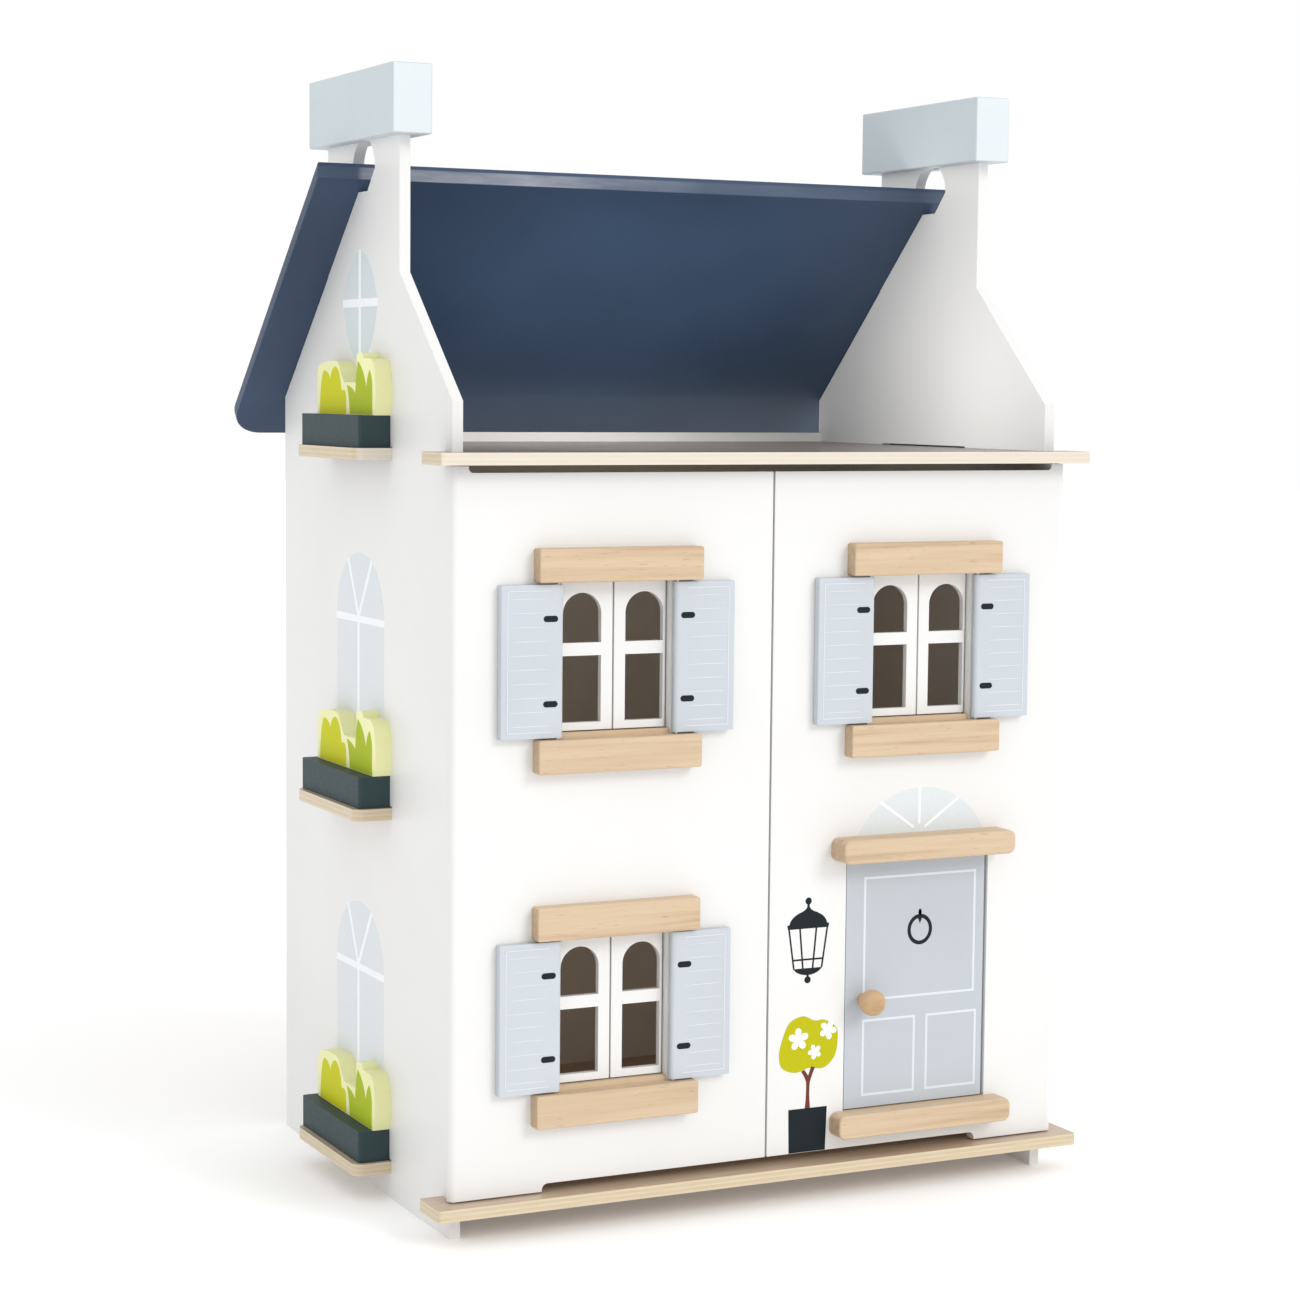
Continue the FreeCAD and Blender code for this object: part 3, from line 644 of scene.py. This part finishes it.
def frame_line(u0, u1, v0, v1, width):
    """A rectangle drawn as a line."""
    return (rectangle(u0, u1, v0, v1), rectangle(u0 + width, u1 - width, v0 + width, v1 - width))


def pill(u0, u1, v0, v1):
    radius = (v1 - v0) / 2
    middle = (v0 + v1) / 2
    right = arc((u1 - radius, middle), radius, -90, 90, 8)
    return right + arc((u0 + radius, middle), radius, 90, 270, 8)


def bar(start, end, width):
    """A straight line of ink."""
    run = Vector(end) - Vector(start)
    side = Vector((-run.y, run.x)).normalized() * width / 2
    first, last = Vector(start), Vector(end)
    return [tuple(p) for p in (first + side, first - side, last - side, last + side)]


def bow(start, pull, end, steps=8):
    """Points on a curve that leaves start towards pull and arrives at end, without its start."""
    points = []
    for i in range(1, steps + 1):
        t = i / steps
        weights = ((1 - t) ** 2, 2 * t * (1 - t), t * t)
        points.append(
            tuple(sum(w * p[k] for w, p in zip(weights, (start, pull, end))) for k in (0, 1))
        )
    return points


def smooth_loop(points, steps=6):
    """A closed curve through the points."""
    loop = []
    count = len(points)
    for i in range(count):
        p0, p1, p2, p3 = (Vector(points[(i + k) % count]) for k in (-1, 0, 1, 2))
        for step in range(steps):
            t = step / steps
            bend = (2 * p0 - 5 * p1 + 4 * p2 - p3) * t * t + (3 * p1 - p0 - 3 * p2 + p3) * t**3
            loop.append(tuple((2 * p1 + (p2 - p0) * t + bend) / 2))
    return loop


def both_halves(right_half):
    """A closed outline from its right half, which runs from the top middle to the bottom middle."""
    left_half = [(-u, v) for u, v in reversed(right_half) if u > 0]
    return right_half + left_half


LOUVRES = 10
LOUVRE_WIDTH = 0.6
LOUVRE_IN = 0.8
LOUVRE_FROM_HINGE = 9.0
LOUVRE_FROM_EDGE = 4.6
LOUVRE_LOWEST = 7.5
LOUVRE_HIGHEST = 8.5
BORDER_IN = 3.4
BORDER_WIDTH = 0.55
BORDER_GAP = 0.6
HINGE_MARK_LENGTH = 9.6
HINGE_MARK_WIDTH = 3.8
HINGE_MARK_HEIGHTS = (18.9, 70.9)
HINGE_MARK_IN = 4.0


def louvre(u0, u1, v):
    """One fine line that swells in its middle and thins out at both ends."""
    thin = LOUVRE_WIDTH * 0.35
    over = bow((u0, v), ((u0 + u1) / 2, v + LOUVRE_WIDTH), (u1, v + thin / 2))
    under = bow((u1, v - thin / 2), ((u0 + u1) / 2, v - LOUVRE_WIDTH * 0.2), (u0, v - thin))
    return [(u0, v)] + over + [(u1, v - thin / 2)] + under


def print_shutter(window, side):
    """Louvre lines in a border on both faces of a shutter, and two hinge marks on the shown one."""
    name = window + "_" + side + "_shutter"
    low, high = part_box(name)
    width = (high.x - low.x) / MM
    height = (high.z - low.z) / MM
    if side == "left":
        u0, u1 = LOUVRE_FROM_EDGE, width - LOUVRE_FROM_HINGE
        outer_line = u0 - BORDER_GAP
        hinge = width - HINGE_MARK_IN - HINGE_MARK_LENGTH
    else:
        u0, u1 = LOUVRE_FROM_HINGE, width - LOUVRE_FROM_EDGE
        outer_line = u1 + BORDER_GAP - BORDER_WIDTH
        hinge = HINGE_MARK_IN
    pitch = (height - LOUVRE_LOWEST - LOUVRE_HIGHEST) / (LOUVRES - 1)
    lines = [
        louvre(u0 + LOUVRE_IN, u1 - LOUVRE_IN, LOUVRE_LOWEST + pitch * i) for i in range(LOUVRES)
    ]
    low_line = BORDER_IN
    high_line = height - BORDER_IN
    border = [
        rectangle(outer_line, outer_line + BORDER_WIDTH, low_line, high_line),
        rectangle(u0 - BORDER_GAP, u1 + BORDER_GAP, low_line, low_line + BORDER_WIDTH),
        rectangle(u0 - BORDER_GAP, u1 + BORDER_GAP, high_line - BORDER_WIDTH, high_line),
    ]
    front = facing_front(name, low.x, low.y, low.z)
    back = Surface(name, (low.x, high.y, low.z), (1, 0, 0), (0, 0, 1), (0, 1, 0))
    printed(name + "_louvres", front, lines + border, SHUTTER_INK)
    printed(name + "_back_louvres", back, lines + border, SHUTTER_INK)
    marks = [
        pill(hinge, hinge + HINGE_MARK_LENGTH, v, v + HINGE_MARK_WIDTH) for v in HINGE_MARK_HEIGHTS
    ]
    printed(name + "_hinge_marks", front, marks, SLATE_INK, 2)


DOOR_LINE = 1.6
KNOCKER_PLACE = (55.5, 114.6)


def print_door():
    """Three panels drawn in outline, and a ring knocker."""
    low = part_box("house_door")[0]
    face = facing_front("front_door", low.x, low.y, low.z)
    panels = [
        frame_line(13.0, 98.0, 70.2, 151.7, DOOR_LINE),
        frame_line(13.0, 53.0, 7.4, 58.0, DOOR_LINE),
        frame_line(61.0, 100.0, 7.4, 58.0, DOOR_LINE),
    ]
    printed("door_panel_lines", face, panels, DOOR_INK)
    u, v = KNOCKER_PLACE
    ring = (disc(KNOCKER_PLACE, 9.4, 1.08), disc(KNOCKER_PLACE, 6.9, 1.1))
    stem = pill(u - 1.3, u + 1.3, v + 9.0, v + 13.4)
    drop = [(u, v + 9.6), (u + 2.0, v + 8.6), (u, v + 3.8), (u - 2.0, v + 8.6)]
    printed("door_knocker", face, [ring, stem, drop], SLATE_INK)


FAN_RADIUS = 53.0
FAN_DROP = 23.6
FAN_SHIFT = 2.5
FAN_BARS = ((35, 36.0), (90, 30.0), (145, 36.0))
FAN_BAR_START = 5.0
FAN_BAR_WIDTH = 1.8


def print_fanlight():
    """A segment of a circle over the door's lintel, with three white bars spread like a fan."""
    low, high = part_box("door_lintel")
    face_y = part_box("right_front_panel")[0].y
    face = facing_front("right_front", (low.x + high.x) / 2, face_y, high.z)
    edge = math.degrees(math.asin(FAN_DROP / FAN_RADIUS))
    glass = arc((FAN_SHIFT, -FAN_DROP), FAN_RADIUS, edge, 180 - edge, 40)
    printed("fanlight", face, [glass], GLASS_INK)
    foot = (FAN_SHIFT - 1.5, 0.4)
    bars = []
    for angle, length in FAN_BARS:
        across, up = math.cos(math.radians(angle)), math.sin(math.radians(angle))
        start = (foot[0] + FAN_BAR_START * across, foot[1] + FAN_BAR_START * up)
        end = (foot[0] + length * across, foot[1] + length * up)
        bars.append(bar(start, end, FAN_BAR_WIDTH))
    printed("fanlight_bars", face, bars, WHITE_INK, 2)


def print_lantern(face):
    """A carriage lamp, measured from the middle of its pendant ball."""
    cap = [(0.0, 50.0), (0.8, 50.0), (0.9, 47.6)]
    cap += bow(cap[-1], (1.6, 45.4), (5.2, 44.2))
    cap += bow(cap[-1], (13.0, 41.2), (13.8, 36.4))
    cap += [(15.4, 36.0), (14.8, 33.4), (0.0, 33.4)]
    bowl = [(0.0, 7.6), (10.6, 7.6)]
    bowl += bow(bowl[-1], (7.6, 3.4), (0.0, 3.0))
    shapes = [disc((0.0, 51.2), 2.3), both_halves(cap), both_halves(bowl)]
    shapes += [disc((0.0, 0.0), 2.3), bar((0.0, 3.2), (0.0, 1.8), 1.5)]
    shapes.append(bar((-11.2, 13.3), (11.2, 13.3), 1.15))
    for side in (-1, 1):
        shapes.append(bar((side * 14.0, 33.4), (side * 10.2, 7.6), 1.15))
        shapes.append(bar((side * 6.0, 33.4), (side * 3.6, 7.6), 1.15))
    printed("lantern", face, shapes, SLATE_INK)


def blossom(centre, radius, turn):
    """A flower of five round petals."""
    points = []
    steps = 60
    for i in range(steps):
        angle = 2 * math.pi * i / steps
        petal = abs(math.cos(2.5 * angle)) ** 0.7
        reach = radius * (0.38 + 0.62 * petal)
        heading = angle + math.radians(turn)
        u = centre[0] + reach * math.cos(heading)
        points.append((u, centre[1] + reach * math.sin(heading)))
    return points


def print_tree(face):
    """A clipped tree in a square pot, measured from the middle of the pot's foot."""
    pot = [(-13.4, 0.0), (13.4, 0.0), (14.4, 28.7), (-14.0, 28.7)]
    printed("tree_pot", face, [pot], SLATE_INK)
    trunk = [(-1.9, 28.7), (1.9, 28.7)]
    trunk += bow(trunk[-1], (0.8, 38.0), (1.5, 45.5), 6)
    trunk += bow(trunk[-1], (3.0, 50.5), (5.2, 55.0), 5)
    trunk += [(2.4, 56.0), (0.3, 50.0), (-2.6, 54.0), (-5.0, 53.0)]
    trunk += bow(trunk[-1], (-2.4, 49.5), (-1.2, 46.0), 5)
    trunk += bow(trunk[-1], (-0.7, 38.0), (-1.9, 28.7), 6)[:-1]
    printed("tree_trunk", face, [trunk], BARK_INK, 2)
    crown = [
        (-4.0, 89.2),
        (4.4, 85.8),
        (12.0, 85.6),
        (20.2, 80.5),
        (21.8, 72.0),
        (19.5, 61.0),
        (11.5, 54.2),
        (1.0, 55.0),
        (-9.0, 52.6),
        (-18.6, 56.0),
        (-21.4, 63.5),
        (-19.5, 74.0),
        (-14.0, 85.5),
    ]
    printed("tree_crown", face, [smooth_loop(crown)], CROWN_INK)
    flowers = [
        blossom((-7.2, 74.3), 7.4, 20),
        blossom((14.4, 78.8), 6.4, 65),
        blossom((4.8, 65.2), 5.0, 40),
    ]
    printed("tree_flowers", face, flowers, WHITE_INK, 2)


PENDANT_OVER_DOOR_FOOT = 87.8 * MM
POT_UNDER_THRESHOLD = 8.6 * MM
TREE_SHIFT = 1.2 * MM


def print_front():
    """The lantern and the tree, between the front's split and the door."""
    panel_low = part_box("right_front_panel")[0]
    door_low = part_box("house_door")[0]
    middle = (panel_low.x + door_low.x) / 2
    pendant_z = door_low.z + PENDANT_OVER_DOOR_FOOT
    foot_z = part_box("door_threshold")[0].z - POT_UNDER_THRESHOLD
    print_lantern(facing_front("right_front", middle, panel_low.y, pendant_z))
    print_tree(facing_front("right_front", middle + TREE_SHIFT, panel_low.y, foot_z))


ARCH_HALF = 43.6
ARCH_RISE = 41.0
TRANSOM = 114.0
TRANSOM_H = 4.6
WINDOW_FOOT = 40.0


def print_gable(side):
    """Three pale windows on the outside of a gable: two with arches and a pointed oval on top."""
    sign = -1 if side == "left" else 1
    face_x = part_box(side + "_gable")[0 if side == "left" else 1].x
    for storey in ("lower", "middle"):
        low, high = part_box(side + "_" + storey + "_window_box")
        middle = (low.y + high.y) / 2
        face = Surface("house", (face_x, middle, low.z), (0, 1, 0), (0, 0, 1), (sign, 0, 0))
        spring = TRANSOM + TRANSOM_H
        glass = arc((0, spring), ARCH_HALF, 0, 180, 36, ARCH_RISE / ARCH_HALF)
        glass += [(-ARCH_HALF, WINDOW_FOOT), (ARCH_HALF, WINDOW_FOOT)]
        name = side + "_" + storey + "_wall_window"
        printed(name, face, [glass], MIST_INK)
        bars = [
            rectangle(-ARCH_HALF - 1, ARCH_HALF + 1, TRANSOM, spring),
            rectangle(0.6, 4.6, WINDOW_FOOT, TRANSOM),
            bar((2.6, spring - 1), (22.0, spring + 37.0), 3.4),
            bar((2.6, spring - 1), (-22.0, spring + 37.0), 3.4),
        ]
        printed(name + "_bars", face, bars, WHITE_INK, 2)
    low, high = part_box(side + "_upper_window_box")
    middle = (low.y + high.y) / 2
    face = Surface("house", (face_x, middle, low.z), (0, 1, 0), (0, 0, 1), (sign, 0, 0))
    half, foot, waist, top = 31.0, 52.0, 92.0, 126.0
    oval = [(0, top)] + bow((0, top), (half * 0.75, top - 6), (half, waist), 14)
    oval += bow((half, waist), (half * 0.8, foot + 8), (0, foot), 14)
    printed(side + "_oval_window", face, [both_halves(oval)], SKY_INK)
    cross = [
        rectangle(-half - 1, half + 1, waist - 2.6, waist + 2.6),
        rectangle(-1.4, 2.6, foot, top),
    ]
    printed(side + "_oval_window_bars", face, cross, WHITE_INK, 2)


def blades(start, tips, end, fullness):
    """A tuft of leaves: from its foot up to each tip, down to the notch after it, and back."""
    outline = [start]
    for tip, notch in tips:
        for corner in (tip, notch):
            last = outline[-1]
            outer, peak = (last, tip) if corner == tip else (notch, tip)
            pull = (
                outer[0] * fullness + peak[0] * (1 - fullness),
                outer[1] * (1 - fullness) + peak[1] * fullness,
            )
            outline += bow(last, pull, corner)
    return outline + [end]


def print_plants(side, storey):
    """Two tufts on the outside of a plant board: a broad olive one and a spiky green one."""
    sign = -1 if side == "left" else 1
    low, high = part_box(side + "_" + storey + "_plants")
    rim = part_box(side + "_" + storey + "_window_box")[1].z
    face_x = low.x if side == "left" else high.x
    face = Surface("house", (face_x, 0.0, rim), (0, 1, 0), (0, 0, 1), (sign, 0, 0))
    olive = [
        ((41.5, 28.4), (29.5, 22.0)),
        ((19.5, 31.0), (8.4, 15.2)),
        ((3.2, 15.6), (-0.6, 10.8)),
    ]
    green = [
        ((-1.8, 19.0), (-17.6, 13.6)),
        ((-22.4, 34.0), (-37.4, 17.6)),
        ((-43.6, 28.5), (-48.4, 18.5)),
    ]
    name = side + "_" + storey + "_"
    tuft = blades((49.6, 0.3), olive, (-0.6, 0.3), 0.85)
    printed(name + "olive_leaves", face, [tuft], OLIVE_INK)
    tuft = blades((-7.6, 0.3), green, (-48.2, 0.3), 0.7)
    printed(name + "green_leaves", face, [tuft], LEAF_INK)


# ---------------------------------------------------- floor, lights, camera


FLOOR_RADIUS = 14.0


def make_floor():
    mesh = bpy.data.meshes.new("floor")
    shape = bmesh.new()
    bmesh.ops.create_circle(shape, cap_ends=True, segments=96, radius=FLOOR_RADIUS)
    shape.to_mesh(mesh)
    shape.free()
    floor = finished("floor", mesh, floor_paper("floor_paper"))
    floor.location.z = cad_low.z


WORLD_COLOUR = (1.0, 1.0, 1.0, 1.0)
WORLD_STRENGTH = 1.0

SUN_FROM = (0.45, -0.75, 0.55)
SUN_STRENGTH = 1.0
SUN_SPREAD = 25.0
SUN_COLOUR = (1.0, 0.99, 0.975)
ROOM_LIGHT = 0.07
ROOM_SIZE = 0.05
ROOM_COLOUR = (1.0, 0.83, 0.66)
ROOM_LIGHT_IN = 25 * MM
ROOM_LIGHT_DOWN = 30 * MM
ROOM_TARGET_DOWN = 140 * MM
FILL_OVER_DECK = 50 * MM
ATTIC_LIGHT = 0.115
ATTIC_SIZE = 0.05
ATTIC_SPREAD = 60.0
ATTIC_COLOUR = (1.0, 0.99, 0.97)
ATTIC_LIGHT_IN = 15 * MM
ATTIC_LIGHT_Y = -110 * MM
ATTIC_TARGET_Y = -60 * MM
ATTIC_TARGET_OVER_DECK = 42 * MM
ROOF_LIGHT = 0.15
ROOF_LIGHT_WIDTH = 0.27
ROOF_LIGHT_HEIGHT = 0.03
ROOF_SPREAD = 90.0
ROOF_COLOUR = (1.0, 0.98, 0.94)
ROOF_LIGHT_X = -15 * MM
ROOF_LIGHT_Y = -130 * MM
ROOF_TARGET_Y = 90 * MM
ROOF_TARGET_OVER_DECK = 88 * MM


def hung(name, light, place, towards):
    """A light in the scene, out of the camera's own sight, shining in the given direction."""
    obj = bpy.data.objects.new(name, light)
    bpy.context.scene.collection.objects.link(obj)
    obj.location = place
    obj.rotation_euler = Vector(towards).to_track_quat("-Z", "Y").to_euler()
    obj.visible_camera = False
    obj.visible_glossy = light.type == "SUN"


def area_light(name, place, target, size, power, colour, spread=180.0):
    """A rectangle of light of the given width and height, aimed at the target."""
    light = bpy.data.lights.new(name, "AREA")
    light.shape = "RECTANGLE"
    light.size, light.size_y = size
    light.energy = power
    light.color = colour
    light.spread = math.radians(spread)
    hung(name, light, place, Vector(target) - Vector(place))


def make_lights():
    """White all round, a broad key from the upper right, and faint fills in rooms and attic."""
    world = bpy.data.worlds.new("studio")
    bpy.context.scene.world = world
    world.use_nodes = True
    background = world.node_tree.nodes["Background"]
    background.inputs["Color"].default_value = WORLD_COLOUR
    background.inputs["Strength"].default_value = WORLD_STRENGTH
    key = bpy.data.lights.new("key", "SUN")
    key.energy = SUN_STRENGTH
    key.angle = math.radians(SUN_SPREAD)
    key.color = SUN_COLOUR
    hung("key", key, (0.0, 0.0, 2.0), -Vector(SUN_FROM))
    front_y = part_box("left_gable")[0].y
    back_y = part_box("back_panel")[0].y
    for name in ("middle_floor", "attic_floor"):
        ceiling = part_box(name)[0].z
        place = (0.0, front_y + ROOM_LIGHT_IN, ceiling - ROOM_LIGHT_DOWN)
        target = (0.0, back_y, ceiling - ROOM_TARGET_DOWN)
        size = (ROOM_SIZE, ROOM_SIZE)
        area_light(name + "_room_light", place, target, size, ROOM_LIGHT, ROOM_COLOUR)
    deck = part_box("attic_floor")[1].z
    place = (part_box("left_gable")[1].x + ATTIC_LIGHT_IN, ATTIC_LIGHT_Y, deck + FILL_OVER_DECK)
    target = (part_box("right_gable")[0].x, ATTIC_TARGET_Y, deck + ATTIC_TARGET_OVER_DECK)
    size = (ATTIC_SIZE, ATTIC_SIZE)
    area_light("attic_fill", place, target, size, ATTIC_LIGHT, ATTIC_COLOUR, ATTIC_SPREAD)
    place = (ROOF_LIGHT_X, ROOF_LIGHT_Y, deck + FILL_OVER_DECK)
    target = (ROOF_LIGHT_X, ROOF_TARGET_Y, deck + ROOF_TARGET_OVER_DECK)
    size = (ROOF_LIGHT_WIDTH, ROOF_LIGHT_HEIGHT)
    area_light("roof_fill", place, target, size, ROOF_LIGHT, ROOF_COLOUR, ROOF_SPREAD)
    bpy.context.scene.view_settings.view_transform = "Standard"


# The photograph's viewpoint: metres, degrees, and the lens in millimetres on a 36 mm sensor
CAMERA_PLACE = (-0.87573, -1.78032, 0.52230)
CAMERA_YAW = 26.01
CAMERA_PITCH = 5.149
CAMERA_ROLL = 0.536
CAMERA_LENS = 80.89


def make_camera():
    """Low at the front left, looking slightly down."""
    camera = bpy.data.cameras.new("camera")
    camera.lens = CAMERA_LENS
    camera.sensor_width = 36.0
    obj = bpy.data.objects.new("camera", camera)
    bpy.context.scene.collection.objects.link(obj)
    turn = Matrix.Rotation(math.radians(-CAMERA_YAW), 4, "Z")
    tilt = Matrix.Rotation(math.radians(90 - CAMERA_PITCH), 4, "X")
    roll = Matrix.Rotation(math.radians(CAMERA_ROLL), 4, "Z")
    obj.matrix_world = Matrix.Translation(CAMERA_PLACE) @ turn @ tilt @ roll
    bpy.context.scene.camera = obj


dress_house()
dress_windows()
dress_door()
for window in WINDOWS:
    for side in SIDES:
        print_shutter(window, side)
print_door()
print_fanlight()
print_front()
for side in SIDES:
    print_gable(side)
    for storey in STOREYS:
        print_plants(side, storey)
make_floor()
make_lights()
make_camera()
